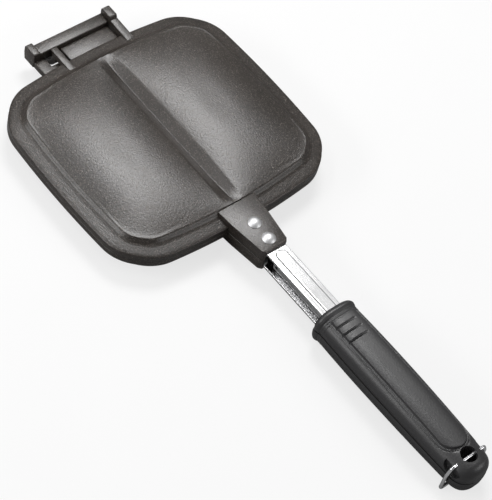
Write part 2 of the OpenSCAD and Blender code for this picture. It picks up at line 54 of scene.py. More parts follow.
plate = {
    "length": 129.5, "width": 146.0, "endBow": 5.0, "sideBow": 2.6,
    "rimWidth": 10.2, "rimCorner": 24.7, "rimThick": 4.1, "edgeRadius": 0.9, "footRadius": 0.35,
    "shoulder": 7.6, "shoulderCorner": 13.4, "stepWidth": 2.6, "stepFoot": 5.35,
    "rise": 4.4, "wall": 2.6, "creaseDepth": 2.2, "creaseWidth": 5.4, "creaseSoft": 0.55,
    "mouthInset": 0.3, "cavityRun": 4.5, "ridgeGap": 0.8, "ridgeSlope": 1.5,
    "columns": 60, "rows": 84,
}
plateEnd = plate["length"] / 2 + plate["endBow"]
hinge = {
    "reach": 14.9, "height": 1.0, "barWidth": 7.5, "barHeight": 7.2, "barLeft": 27.5, "barRight": 20.2,
    "journal": 2.6, "knuckle": 4.3, "knuckleThick": 5.0, "knuckleHeight": 7.4, "gap": 0.3,
    "armThick": 7.0, "armTop": -0.4, "armBottom": -4.6, "headThick": 4.4,
    "tongueLeft": 13.8, "tongueTop": 1.6, "tongueBottom": -3.4,
    "hookThick": 4.0, "hookMiddle": 19.0, "hookWall": 3.4, "lugRoot": 7.5, "lugRise": 4.2, "webReach": 4.9,
    "headOverhang": 1.9, "headRise": 0.9,
}
hingeX = -plateEnd - hinge["reach"]
rowOrigin = joints["plate_hinge"] - np.array([hingeX, 0.0, hinge["height"]])
socket = {
    "rootHalf": 12.6, "mouthHalf": 8.6, "length": 25.4, "chamfer": 1.9, "height": 7.75, "topThick": 1.6,
    "shoulderAt": 3.2, "edge": 0.9,
}
socketEnd = plateEnd + socket["length"]
shank = {
    "width": 13.0, "thick": 1.7, "beadWidth": 7.8, "beadHeight": 0.9, "beadStart": socketEnd + 1.5,
    "free": 46.8, "tang": 62.0, "edge": 0.35, "fit": 0.05,
}
shankTop = socket["height"] - socket["topThick"]
shankBottom = shankTop - shank["thick"]
handleStart = socketEnd + shank["free"]
# where the front arc of the bead is centred along x, and the half width of its foot; these place the painted shade
# line round the bead's foot
shankFoot = (shank["beadStart"] + shank["beadWidth"] / 2 + rowOrigin[0], shank["beadWidth"] / 2 - 0.45)


def gridFaces(rows, columns, closed=False):
    # quads of a rows x columns grid; closed joins the last column to the first
    r, c = np.meshgrid(np.arange(rows - 1), np.arange(columns if closed else columns - 1), indexing="ij")
    n = (c + 1) % columns
    quads = [r * columns + c, r * columns + n, (r + 1) * columns + n, (r + 1) * columns + c]
    return np.stack(quads, -1).reshape(-1, 4)


def newPiece(name, points, faces):
    mesh = bpy.data.meshes.new(name)
    mesh.from_pydata(((np.asarray(points) + rowOrigin) * mm).tolist(), [], [list(face) for face in faces])
    work = bmesh.new()
    work.from_mesh(mesh)
    bmesh.ops.remove_doubles(work, verts=work.verts, dist=0.002 * mm)
    bmesh.ops.recalc_face_normals(work, faces=work.faces)
    work.to_mesh(mesh)
    work.free()
    piece = bpy.data.objects.new(name, mesh)
    scene.collection.objects.link(piece)
    return piece


def applied(piece):  # keeps the result of the modifiers as the mesh
    bpy.context.view_layer.update()
    shaped = bpy.data.meshes.new_from_object(piece.evaluated_get(bpy.context.evaluated_depsgraph_get()))
    piece.modifiers.clear()
    piece.data = shaped
    return piece


def carved(piece, *cutters):
    for cutter in cutters:
        cut = piece.modifiers.new("cut", "BOOLEAN")
        cut.operation = "DIFFERENCE"
        cut.solver = "EXACT"
        cut.object = cutter
    applied(piece)
    for cutter in cutters:
        bpy.data.objects.remove(cutter)
    return piece


def bevelled(piece, width, segments=3, angle=28):
    edge = piece.modifiers.new("edges", "BEVEL")
    edge.width = width * mm
    edge.segments = segments
    edge.limit_method = "ANGLE"
    edge.angle_limit = math.radians(angle)
    edge.use_clamp_overlap = True
    return applied(piece)


def dressed(piece, body, finish, replaced=(), sharp=32):
    piece.data.shade_smooth()
    piece.data.set_sharp_from_angle(angle=math.radians(sharp))
    piece.data.materials.clear()
    piece.data.materials.append(finishes[finish])
    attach(piece, body)
    if replaced:
        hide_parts(*replaced)
    return piece


def prism(name, outline, low, high, axis="z"):
    # outline carried straight from low to high; axis "y" reads the outline as x and z
    flat = np.asarray(outline, float)
    levels = []
    for level in (low, high):
        across = np.full(len(flat), level)
        order = [flat[:, 0], across, flat[:, 1]] if axis == "y" else [flat[:, 0], flat[:, 1], across]
        levels.append(np.stack(order, -1))
    count = len(flat)
    faces = gridFaces(2, count, closed=True).tolist()
    faces += [list(range(count)), list(range(count, 2 * count))]
    return newPiece(name, np.concatenate(levels), faces)


def box(name, low, high):
    outline = [(low[0], low[1]), (high[0], low[1]), (high[0], high[1]), (low[0], high[1])]
    return prism(name, outline, low[2], high[2])


def turned(name, profile, at, axis="z", sides=64):
    # profile of radius and height carried round an axis: (r cos a, r sin a, h); poles are closed by merging
    radius, height = np.asarray(profile, float).T
    angle = np.linspace(0, 2 * math.pi, sides, endpoint=False)
    x = radius[:, None] * np.cos(angle)
    y = radius[:, None] * np.sin(angle)
    z = np.repeat(height[:, None], sides, 1)
    points = np.stack([x, y, z] if axis == "z" else [x, z, y], -1).reshape(-1, 3) + np.asarray(at, float)
    return newPiece(name, points, gridFaces(len(radius), sides, closed=True))


def arc(centre, radius, start, end, steps):  # points of a circular arc, angles in degrees
    angle = np.radians(np.linspace(start, end, steps + 1))
    return np.stack([centre[0] + radius * np.cos(angle), centre[1] + radius * np.sin(angle)], -1)


def mirrored(points, side):  # side is +1 for the upper half and -1 for the lower
    return np.asarray(points) * np.array([1, 1, side])


class Wire:  # a node socket on which shader maths is written as Python
    def __init__(self, tree, socket):
        self.tree, self.socket = tree, socket

    def maths(self, operation, other=None, swap=False):
        values = [self, other] if not swap else [other, self]
        return node(self.tree, "ShaderNodeMath", {"operation": operation},
                    {i: v for i, v in enumerate(values) if v is not None})

    def __add__(self, other): return self.maths("ADD", other)
    def __radd__(self, other): return self.maths("ADD", other)
    def __sub__(self, other): return self.maths("SUBTRACT", other)
    def __rsub__(self, other): return self.maths("SUBTRACT", other, swap=True)
    def __mul__(self, other): return self.maths("MULTIPLY", other)
    def __rmul__(self, other): return self.maths("MULTIPLY", other)
    def __pow__(self, other): return self.maths("POWER", other)


def node(tree, kind, settings=None, inputs=None, output=0):
    made = tree.nodes.new(kind)
    for name, value in (settings or {}).items():
        if name == "stops":
            ramp = made.color_ramp
            while len(ramp.elements) < len(value):
                ramp.elements.new(0.5)
            for element, (place, shade) in zip(ramp.elements, value):
                element.position = place
                element.color = (shade, shade, shade, 1) if isinstance(shade, (int, float)) else (*shade, 1)
        else:
            setattr(made, name, value)
    for name, value in (inputs or {}).items():
        if isinstance(value, Wire):
            tree.links.new(value.socket, made.inputs[name])
        else:
            made.inputs[name].default_value = value
    return Wire(tree, made.outputs[output])


def newMaterial(name):
    material = bpy.data.materials.new(name)
    material.use_nodes = True
    tree = material.node_tree
    shader = tree.nodes["Principled BSDF"]
    place = node(tree, "ShaderNodeTexCoord", output=3)
    return material, tree, shader, place


def setShader(tree, shader, **values):
    for name, value in values.items():
        socket = shader.inputs[{"color": "Base Color", "roughness": "Roughness", "metallic": "Metallic",
                                "normal": "Normal", "specular": "Specular IOR Level"}[name]]
        if isinstance(value, Wire):
            tree.links.new(value.socket, socket)
        else:
            socket.default_value = value


def noise(tree, place, scale, detail=2.0, roughness=0.5, output=0):
    return node(tree, "ShaderNodeTexNoise", None,
                {"Vector": place, "Scale": scale, "Detail": detail, "Roughness": roughness}, output)


def ramp(tree, value, *stops):
    return node(tree, "ShaderNodeValToRGB", {"stops": stops}, {"Fac": value})


def mixColor(tree, factor, first, second):
    made = tree.nodes.new("ShaderNodeMix")
    made.data_type = "RGBA"
    for index, value in ((0, factor), (6, first), (7, second)):
        if isinstance(value, Wire):
            tree.links.new(value.socket, made.inputs[index])
        elif index == 0:
            made.inputs[index].default_value = value
        else:
            made.inputs[index].default_value = (*value, 1)
    return Wire(tree, made.outputs[2])


def bump(tree, height, strength, distance):
    return node(tree, "ShaderNodeBump", None, {"Height": height, "Strength": strength, "Distance": distance * mm})


coating = {
    "dark": (0.015, 0.0120, 0.0100), "pale": (0.040, 0.0320, 0.0268), "fleck": (0.34, 0.30, 0.26),
    "fleckScale": 2400, "grainScale": 980, "patchScale": 34, "specular": 0.62,
}


def castCoating():
    # baked dark coating: fine grain in the gloss, bright metal flecks and slow patches of tone
    material, tree, shader, place = newMaterial("cast_coating")
    grain = noise(tree, place, coating["grainScale"], 3, 0.65)
    patches = noise(tree, place, coating["patchScale"], 3)
    cells = node(tree, "ShaderNodeTexVoronoi", None, {"Vector": place, "Scale": coating["fleckScale"]}, 0)
    pick = noise(tree, place, coating["fleckScale"] * 0.45, 1)
    fleck = ramp(tree, cells, (0.1, 1.0), (0.40, 0.0)) * ramp(tree, pick, (0.48, 0.0), (0.60, 1.0))
    tone = mixColor(tree, ramp(tree, patches * 0.3 + grain * 0.7, (0.38, 0.0), (0.62, 1.0)),
                    coating["dark"], coating["pale"])
    setShader(tree, shader, color=mixColor(tree, fleck, tone, coating["fleck"]),
              roughness=grain * 0.14 + 0.21 + patches * 0.05, metallic=fleck * 0.6,
              specular=coating["specular"], normal=bump(tree, grain + fleck * 0.3, 0.9, 0.15))
    return material


strip = {
    "dark": (0.60, 0.60, 0.605), "pale": (0.72, 0.72, 0.725), "haze": 60, "stretch": (12, 900, 900),
    # colour and half width of the painted shade line round the bead's foot
    "paintedShade": (0.10, 0.10, 0.10), "shadeLineHalf": 0.42,
}


def stainlessStrip():
    # bright strip: fine lines along its length, faint hazy patches, and painted shade: a dark line round the bead's
    # foot
    material, tree, shader, place = newMaterial("stainless_strip")
    stretched = node(tree, "ShaderNodeMapping", None, {"Vector": place, "Scale": strip["stretch"]})
    lines = noise(tree, stretched, 1.0, 3, 0.6)
    haze = noise(tree, place, strip["haze"], 2)
    # painted shade round the bead: a dark narrow band where the distance to the bead's spine meets its half width
    split = [node(tree, "ShaderNodeSeparateXYZ", None, {0: place}, index) for index in (0, 1)]
    before = (split[0] - float(shankFoot[0] * mm)).maths("MINIMUM", 0.0)
    away = (before * before + split[1] * split[1]) ** 0.5
    offset = (away - float(shankFoot[1] * mm)).maths("ABSOLUTE")
    foot = ramp(tree, offset * (0.5 / (strip["shadeLineHalf"] * mm)), (0.15, 1.0), (0.5, 0.0))
    steel = mixColor(tree, haze, strip["dark"], strip["pale"])
    # the steel's colour is darkened to the painted shade inside that band
    setShader(tree, shader, color=mixColor(tree, foot, steel, strip["paintedShade"]),
              roughness=lines * 0.08 + haze * 0.05 + 0.07, metallic=1.0, normal=bump(tree, lines, 0.10, 0.02))
    return material


heads = {"dark": (0.78, 0.78, 0.79), "pale": (0.90, 0.90, 0.91), "markScale": 900, "dentScale": 260}


def rivetMetal():
    # bright heads with a fine grain and small dents from setting
    material, tree, shader, place = newMaterial("rivet_metal")
    marks = noise(tree, place, heads["markScale"], 3, 0.6)
    dents = noise(tree, place, heads["dentScale"], 2)
    setShader(tree, shader, color=mixColor(tree, dents, heads["dark"], heads["pale"]),
              roughness=marks * 0.12 + 0.40, metallic=1.0, normal=bump(tree, dents + marks * 0.3, 0.35, 0.05))
    return material


grip = {
    "dark": (0.014, 0.0135, 0.0145), "pale": (0.024, 0.0235, 0.0245), "specular": 0.85,
    "grainScale": 1200, "polishScale": 45, "flowStretch": (14, 70, 70),
}


def gripPlastic():
    # satin moulded plastic: spark-eroded fine grain, slight flow marks along the grip, light handling polish
    material, tree, shader, place = newMaterial("grip_plastic")
    grain = noise(tree, place, grip["grainScale"], 2, 0.6)
    along = node(tree, "ShaderNodeMapping", None, {"Vector": place, "Scale": grip["flowStretch"]})
    flow = noise(tree, along, 1.0, 3)
    polish = noise(tree, place, grip["polishScale"], 2)
    tone = mixColor(tree, ramp(tree, flow, (0.3, 0.0), (0.7, 1.0)), grip["dark"], grip["pale"])
    setShader(tree, shader, color=tone, roughness=grain * 0.12 + polish * 0.10 + 0.34, specular=grip["specular"],
              normal=bump(tree, grain * 0.8 + flow * 0.4, 0.8, 0.14))
    return material


zinc = {"dark": (0.50, 0.50, 0.52), "pale": (0.72, 0.72, 0.74), "crystalScale": 900, "scratchScale": 1500}


def screwMetal():
    # plain zinc: crystal-like patches and scratches
    material, tree, shader, place = newMaterial("screw_metal")
    patches = node(tree, "ShaderNodeTexVoronoi", None, {"Vector": place, "Scale": zinc["crystalScale"]}, 1)
    scratch = noise(tree, place, zinc["scratchScale"], 3, 0.7)
    setShader(tree, shader, color=mixColor(tree, scratch, zinc["dark"], zinc["pale"]),
              roughness=scratch * 0.2 + 0.22, metallic=1.0, normal=bump(tree, patches * 0.3 + scratch, 0.2, 0.03))
    return material


drawn = {"dark": (0.78, 0.78, 0.80), "pale": (0.93, 0.93, 0.94), "spotScale": 320}


def claspSteel():
    # drawn bright wire with small dull spots
    material, tree, shader, place = newMaterial("clasp_steel")
    spots = noise(tree, place, drawn["spotScale"], 3, 0.6)
    setShader(tree, shader, color=mixColor(tree, spots, drawn["dark"], drawn["pale"]),
              roughness=spots * 0.14 + 0.08, metallic=1.0, normal=bump(tree, spots, 0.15, 0.03))
    return material


finishes = {"cast_coating": castCoating(), "stainless_strip": stainlessStrip(), "rivet_metal": rivetMetal(),
            "grip_plastic": gripPlastic(), "screw_metal": screwMetal(), "clasp_steel": claspSteel()}
print("materials made")


shoulderHalf = (plate["length"] / 2 - plate["rimWidth"], plate["width"] / 2 - plate["rimWidth"])
bows = (plate["endBow"], plate["sideBow"])


def ringRadius(out):
    return plate["shoulderCorner"] + (plate["rimCorner"] - plate["shoulderCorner"]) * out / plate["rimWidth"]


def sideReach(along, near, far, radius, bow):
    # near - r + sqrt(r^2 - past^2) + bow (1 - (along / mitre)^2), the outline's distance at a place along it
    past = np.clip(np.abs(along) - (far - radius), 0, radius)
    mitre = far - radius * (1 - math.sqrt(0.5))
    return near - radius + np.sqrt(radius ** 2 - past ** 2) + bow * (1 - (along / mitre) ** 2)


def outlinePoints(u, v, out):
    # grid square stretched onto the bowed outline: the larger of |u| and |v| scales the outline's point
    half = (shoulderHalf[0] + out, shoulderHalf[1] + out)
    radius = ringRadius(out)
    largest = np.maximum(np.abs(u), np.abs(v))
    scale = np.where(largest == 0, 1, largest)
    mitres = [h - radius * (1 - math.sqrt(0.5)) for h in half]
    y = v / scale * mitres[1]
    x = u / scale * mitres[0]
    onEnd = np.abs(u) >= np.abs(v)
    endX = np.sign(u) * sideReach(y, half[0], half[1], radius, bows[0])
    sideY = np.sign(v) * sideReach(x, half[1], half[0], radius, bows[1])
    return largest * np.where(onEnd, endX, x), largest * np.where(onEnd, y, sideY)


def softAbs(value, soft):
    return np.sqrt(value ** 2 + soft ** 2) - soft


def softMin(a, b, soft):
    return 0.5 * (a + b - np.sqrt((a - b) ** 2 + soft ** 2))


def swell(x, y):
    # pillow: 1.03 (1 - |2v - 1|^2.3)(1 - u^2.6), with u and v the shares of the way to the shoulder
    u = np.abs(x) / sideReach(y, shoulderHalf[0], shoulderHalf[1], plate["shoulderCorner"], bows[0])
    v = np.abs(y) / sideReach(x, shoulderHalf[1], shoulderHalf[0], plate["shoulderCorner"], bows[1])
    u, v = np.minimum(u, 1), np.minimum(v, 1)
    return softMin(1.03 * (1 - np.abs(2 * v - 1) ** 2.3) * (1 - u ** 2.6), 1.0, 0.03), u


def topHeight(x, y):
    # shoulder + rise * swell, less a V crease with a softened foot and shoulders
    crown, u = swell(x, y)
    depth = plate["creaseDepth"] * (1 - softAbs(y, plate["creaseSoft"]) / plate["creaseWidth"])
    cut = 0.5 * (depth + np.sqrt(depth ** 2 + 0.02)) * (1 - u ** 6)
    return plate["shoulder"] + plate["rise"] * crown - cut


def cavityHeight(x, y):
    # the pillow less its wall, down to a blunt pressing ridge under the crease
    crown, _ = swell(x, y)
    ridge = plate["ridgeGap"] + plate["ridgeSlope"] * softAbs(y, 0.5)
    return softMin(plate["shoulder"] - plate["wall"] + plate["rise"] * crown, ridge, 0.5)


def easedSteps(count, crowding):
    # -1 to 1, closer together at both ends and about 0: t - c sin(2 pi t) / (2 pi) on each side
    t = np.linspace(0, 1, count + 1)
    half = t - crowding * np.sin(2 * math.pi * t) / (2 * math.pi)
    return np.concatenate([-half[:0:-1], half])


def rimSection():
    # distance outside the shoulder and height, from the shoulder over the rim and under it to the cavity
    t = np.linspace(0, 1, 13)
    step = np.stack([plate["stepWidth"] * t, plate["shoulder"] - (plate["shoulder"] - plate["stepFoot"])
                     * (t - 0.3 * np.sin(2 * math.pi * t) / (2 * math.pi))], -1)
    r, foot = plate["edgeRadius"], plate["footRadius"]
    edge = arc((plate["rimWidth"] - r, plate["rimThick"] - r), r, 74, 0, 7)
    lower = arc((plate["rimWidth"] - foot, foot), foot, 0, -90, 3)
    mouth = arc((plate["mouthInset"] + 0.4, 0.4), 0.4, -90, -180, 3)
    rise = np.linspace(0, 0.5 * math.pi, 9)[1:]
    wall = np.stack([plate["mouthInset"] - plate["cavityRun"] * (1 - np.cos(rise)),
                     0.4 + (plate["shoulder"] - plate["wall"] - 0.4) * np.sin(rise)], -1)
    flange = step[-1] + (edge[0] - step[-1]) * np.linspace(0, 1, 5)[1:-1, None]
    under = lower[-1] + (mouth[0] - lower[-1]) * np.linspace(0, 1, 6)[1:-1, None]
    return np.concatenate([step, flange, edge, lower, under, mouth, wall])


def plateShell(name, side):
    us, vs = easedSteps(plate["columns"], 0.45), easedSteps(plate["rows"], 0.72)
    u, v = np.meshgrid(us, vs)
    rows, columns = u.shape
    x, y = outlinePoints(u, v, 0.0)
    top = np.stack([x, y, topHeight(x, y)], -1).reshape(-1, 3)
    cavityOut = plate["mouthInset"] - plate["cavityRun"]
    x, y = outlinePoints(u, v, cavityOut)
    cavity = np.stack([x, y, cavityHeight(x, y)], -1).reshape(-1, 3)
    edgeU = np.concatenate([us[:-1], np.full(rows - 1, 1.0), us[:0:-1], np.full(rows - 1, -1.0)])
    edgeV = np.concatenate([np.full(columns - 1, -1.0), vs[:-1], np.full(columns - 1, 1.0), vs[:0:-1]])
    section = rimSection()
    rings = []
    for index, (out, height) in enumerate(section):
        x, y = outlinePoints(edgeU, edgeV, out)
        z = np.full(len(x), height)
        if index == 0:
            z = topHeight(x, y)
        elif out < plate["mouthInset"]:
            z = softMin(z, plate["ridgeGap"] + plate["ridgeSlope"] * softAbs(y, 0.5), 0.3)
        if index == len(section) - 1:
            z = cavityHeight(x, y)
        rings.append(np.stack([x, y, z], -1))
    grid = gridFaces(rows, columns)
    ringFaces = gridFaces(len(section), len(edgeU), closed=True) + 2 * rows * columns
    points = np.concatenate([top, cavity] + rings)
    faces = np.concatenate([grid, grid[:, ::-1] + rows * columns, ringFaces])
    return newPiece(name, mirrored(points, side), faces)


def socketPiece(name, side):
    # tapered outline with cut corners at its mouth, open underneath for the shank
    back = plateEnd - plate["rimWidth"] + 0.7
    mouth = socketEnd - socket["chamfer"]
    halves = [(back, socket["rootHalf"]), (plateEnd + socket["shoulderAt"], socket["rootHalf"] - 1.1),
              (mouth, socket["mouthHalf"]), (socketEnd, socket["mouthHalf"] - socket["chamfer"] * 0.85)]
    outline = [(x, -y) for x, y in halves] + [(x, y) for x, y in halves[::-1]]
    body = prism(name, outline, 0.1 if side > 0 else -socket["height"], socket["height"] if side > 0 else -0.1)
    wide = shank["width"] / 2 + shank["fit"]
    slot = sorted([side * -1.0, side * shankTop])
    carved(body, box("slot", (plateEnd + 0.9, -wide, slot[0]), (socketEnd + 1, wide, slot[1])))
    return bevelled(body, socket["edge"])


lugTop = hinge["height"] + hinge["lugRise"]
lugBottom = hinge["height"] + hinge["gap"]
lugRootX = -plateEnd + hinge["lugRoot"]
hingeFarX = hingeX - hinge["barWidth"] / 2 - hinge["headOverhang"]


def sideSlab(name, outline, low, high, edge=0.45):
    return bevelled(prism(name, outline, low, high, axis="y"), edge)


def hingeBar():
    half = hinge["barWidth"] / 2
    low, high = hinge["height"] - hinge["barHeight"] / 2, hinge["height"] + hinge["barHeight"] / 2
    outline = [(hingeX - half, low), (hingeX + half, low), (hingeX + half, high), (hingeX - half, high)]
    return sideSlab("hinge_bar", outline, -hinge["barLeft"] - 0.5, hinge["barRight"], 0.6)


def hingeJournal():
    r = hinge["journal"]
    length = 1 + hinge["gap"] + hinge["knuckleThick"]
    profile = [(0, 0), (r, 0), (r, length - 0.4), (r - 0.4, length), (0, length)]
    return turned("hinge_journal", profile, (hingeX, hinge["barRight"] - 1, hinge["height"]), "y", 48)


def hingeHead():
    top = hinge["height"] + hinge["barHeight"] / 2 + hinge["headRise"]
    near, low = hingeX + hinge["barWidth"] / 2, hinge["armBottom"]
    outline = [(hingeFarX + 0.9, top), (hingeFarX, top - 1.1), (hingeFarX, low + 5), (hingeFarX + 0.9, low),
               (near, low), (near, top - 1), (near - 0.6, top)]
    return sideSlab("hinge_bar_head", outline, -hinge["barLeft"] - hinge["headThick"], -hinge["barLeft"])


def hingeArm():
    rootX, low = lugRootX + 1.5, hinge["armBottom"]
    start = -hinge["barLeft"] - hinge["headThick"] + 0.5
    outline = [(hingeFarX + 2.2, hinge["armTop"]), (hingeFarX + 2.4, low), (-plateEnd - 6, low),
               (-plateEnd + 1, low + 0.7), (rootX, low + 0.9), (rootX, hinge["armTop"])]
    return sideSlab("hinge_outer_arm", outline, start, start + hinge["armThick"])


def hingeTongue():
    freeX, start = -plateEnd - 0.6, hingeX + hinge["barWidth"] / 2 - 1
    low, high = hinge["tongueBottom"], hinge["tongueTop"]
    outline = [(start, low), (start, high), (freeX, high), (freeX, -hinge["gap"]),
               (freeX + hinge["lugRoot"], -hinge["gap"]), (freeX + hinge["lugRoot"], low)]
    return sideSlab("hinge_tongue", outline, -hinge["tongueLeft"], hinge["barRight"])


def hingeWeb():
    # low web along the plate's end between the outer arm and the tongue, clear of the hook's sweep
    far, low = -plateEnd - hinge["webReach"], hinge["armBottom"] + 0.4
    outline = [(far + 1.2, -hinge["gap"]), (far, -1.8), (far + 0.6, low), (lugRootX, low), (lugRootX, -hinge["gap"])]
    start = -hinge["barLeft"] - hinge["headThick"] + 0.5 + hinge["armThick"] - 0.8
    return sideSlab("hinge_web", outline, start, -hinge["tongueLeft"] + 0.8)


def hingeHook():
    # open ring under the bar, running out along an arm to the rim
    inner = math.hypot(hinge["barWidth"], hinge["barHeight"]) / 2 + hinge["gap"] + 0.5
    outer = inner + hinge["hookWall"]
    top, low = lugTop - hinge["height"], lugBottom - hinge["height"]
    innerTop = math.degrees(math.asin(top / inner))
    outerLow = math.degrees(math.asin(low / outer))
    ring = [arc((0, 0), inner, innerTop, -125, 40), arc((0, 0), outer, -125, outerLow, 40),
            [(lugRootX - hingeX, low), (lugRootX - hingeX, top)]]
    outline = np.concatenate([np.asarray(part, float) for part in ring]) + (hingeX, hinge["height"])
    middle, half = -hinge["hookMiddle"], hinge["hookThick"] / 2
    return sideSlab("hinge_hook", outline, middle - half, middle + half)


def hingeKnuckle():
    # block over the journal with a round underside, bored through, and an arm to the rim
    r, h = hinge["knuckle"], hinge["height"]
    top = h + hinge["knuckleHeight"]
    start = hinge["barRight"] + hinge["gap"]
    under = arc((hingeX, h), r, -180, 0, 20)
    outline = [(hingeX - r, top - 1), (hingeX - r + 1, top), (hingeX + r - 0.6, top), (hingeX + r, top - 0.8),
               (hingeX + r + 0.6, lugTop + 0.8), (lugRootX - 1, lugTop), (lugRootX - 1, lugBottom),
               (-plateEnd + 0.4, lugBottom), (-plateEnd - 0.4, 0.4), (hingeX + r + 0.2, 0.4)]
    body = prism("hinge_knuckle", under.tolist() + outline[::-1], start, start + hinge["knuckleThick"], axis="y")
    bore = hinge["journal"] + 0.06
    cutter = turned("bore", [(0, -1), (bore, -1), (bore, 8), (0, 8)], (hingeX, start, h), "y", 64)
    return bevelled(carved(body, cutter), 0.4)


for half, side in (("upper", 1), ("lower", -1)):
    dressed(plateShell(half + "_shell", side), half + "_half", "cast_coating", [half + "_plate"], 50)
    dressed(socketPiece(half + "_socket", side), half + "_half", "cast_coating")
for piece in (hingeHook(), hingeKnuckle()):
    dressed(piece, "upper_half", "cast_coating")
for piece in (hingeBar(), hingeJournal(), hingeHead(), hingeArm(), hingeTongue(), hingeWeb()):
    dressed(piece, "lower_half", "cast_coating")
print("plates, sockets and hinge made")


def beadRise(x, y, halfWidth, rise, start):
    # plateau with sloping sides and a round front: rise * smooth step of (half width - distance to the spine)
    away = np.hypot(np.minimum(x - start - halfWidth, 0), y)
    t = np.clip((halfWidth - away) / 0.95, 0, 1)
    return rise * t * t * (3 - 2 * t)


def shankPiece(name, side):
    start, end = plateEnd + 1.2, handleStart + shank["tang"]
    front = shank["beadStart"]
    along = np.concatenate([np.linspace(start, front - 0.5, 24), np.linspace(front - 0.25, front + 6, 60),
                            np.linspace(front + 7, end, 70)])
    half, edge = shank["width"] / 2, shank["edge"]
    across = np.linspace(half - edge, -half + edge, 93)
    upperSide = np.stack([across, np.full(93, shankTop), np.ones(93)], -1)
    roundDown = [arc((-half + edge, shankTop - edge), edge, 90, 180, 5),
                 arc((-half + edge, shankBottom + edge), edge, 180, 270, 5)]
    left = np.concatenate(roundDown)
    right = np.concatenate([left[::-1] * (-1, 1)])
    lowerSide = np.stack([across[::-1], np.full(93, shankBottom), np.ones(93)], -1)
    loop = np.concatenate([upperSide, np.column_stack([left, np.zeros(len(left))]), lowerSide,
                           np.column_stack([right, np.zeros(len(right))])])
    x, y = np.meshgrid(along, loop[:, 0], indexing="ij")
    z = np.repeat(loop[None, :, 1], len(along), 0)
    over = loop[None, :, 1] > (shankTop + shankBottom) / 2
    halfBead = np.where(over, shank["beadWidth"] / 2, shank["beadWidth"] / 2 - 0.9)
    begin = np.where(over, front, front + 0.9)
    z = z + beadRise(x, y, halfBead, shank["beadHeight"], begin) * loop[None, :, 2]
    count = loop.shape[0]
    faces = gridFaces(len(along), count, closed=True).tolist()
    faces += [list(range(count)), [(len(along) - 1) * count + i for i in range(count)]]
    return newPiece(name, mirrored(np.stack([x, y, z], -1).reshape(-1, 3), side), faces)


rivet = {"head": 4.0, "rise": 1.9, "pitch": 12.1, "tail": 3.2, "tailThick": 1.0, "body": 2.2, "mouthInset": 6.8}


def rivetPiece(name, side, at):
    # domed head with a small flat rim, plain body and a pressed tail
    r, rise = rivet["head"], rivet["rise"]
    domeR = (r ** 2 + (rise - 0.25) ** 2) / (2 * (rise - 0.25))
    angle = np.linspace(0, math.asin(r / domeR) - 0.02, 14)
    dome = [(domeR * math.sin(a), rise - domeR * (1 - math.cos(a))) for a in angle]
    low = shankBottom - socket["height"]
    profile = dome + [(r, 0.16), (r, -0.05), (rivet["body"], -0.05), (rivet["body"], low),
                      (rivet["tail"], low), (rivet["tail"], low - rivet["tailThick"] + 0.3),
                      (rivet["tail"] - 0.3, low - rivet["tailThick"]), (0, low - rivet["tailThick"])]
    flip = [(radius, side * height) for radius, height in profile]
    return turned(name, flip, (at, 0, side * socket["height"]), "z", 72)


rivetStart = socketEnd - rivet["mouthInset"] - rivet["pitch"]
for half, side in (("upper", 1), ("lower", -1)):
    dressed(shankPiece(half + "_strip", side), half + "_half", "stainless_strip", [half + "_shank"], 40)
    for index in range(2):
        rivetAt = rivetStart + index * rivet["pitch"]
        dressed(rivetPiece(f"{half}_rivet_{index + 1}", side, rivetAt), half + "_half", "rivet_metal",
                [half + "_rivets"])
print("shanks and rivets made")


handle = {
    "length": 117.5, "halfWidth": 13.2, "height": 11.6, "gap": 0.1, "fullestAt": 0.35,
    "frontSlim": 0.7, "tailSlim": 1.3, "frontSink": 0.7, "tailSink": 1.2,
    "bodyPower": 2.9, "tailPower": 2.2, "collarAt": 2.8, "collarReach": 2.9, "collarRise": 0.9,
    "frontRound": 1.5, "tailPlanRound": 9.0, "tailSideRound": 5.0,
    "panelRise": 0.99, "panelHalf": 8.0, "panelFrom": 5.0, "panelRamp": 3.0, "panelFoot": 0.6,
    "creviceDepth": 0.45, "creviceOut": 1.5, "creviceHalf": 0.55, "tuck": 0.9, "tuckHeight": 4.0, "splitRound": 0.7,
    "ridgesAt": (4.4, 5.9, 7.4), "ridgeRise": 0.16, "ridgeHalf": 0.42,
    "grooveAt": 12.0, "groovePitch": 5.2, "grooveDepth": 0.9, "grooveHalf": 0.75,
    "hangRadius": 4.7, "hangInset": 11.0,
}
handleEnd = handleStart + handle["length"]
panelEnd = handle["length"] - handle["hangInset"] - handle["hangRadius"] - 0.8
clasp = {
    "wire": 0.95, "boreFit": 0.06, "height": 7.8, "inset": 10.5, "reach": 18.7, "kneeY": 13.75, "kneeDrop": 5.4,
    "shoulderY": 11.4, "bend": 2.2, "relief": 6.1, "reliefFloor": 9.9, "gap": 0.35, "splitStep": 2.5,
}
claspX = handleEnd - clasp["inset"]


def fade(x, front, tail):  # slims towards both ends with the square of the way past the fullest place
    t = x / handle["length"]
    before = np.maximum(0, 1 - t / handle["fullestAt"])
    after = np.maximum(0, (t - handle["fullestAt"]) / (1 - handle["fullestAt"]))
    return front * before ** 2 + tail * after ** 2


def endRound(inside, radius):
    return radius - np.sqrt(np.maximum(0, radius ** 2 - np.maximum(0, radius - np.maximum(inside, 0)) ** 2))


def collar(x):
    # raised cosine bulge at the front, with fine ridges behind it that follow the front edge
    t = np.minimum(1, np.abs(x - handle["collarAt"]) / handle["collarReach"])
    ridges = sum(np.exp(-((x - at) / handle["ridgeHalf"]) ** 2) for at in handle["ridgesAt"])
    return handle["collarRise"] * (1 + np.cos(math.pi * t)) / 2 + handle["ridgeRise"] * ridges


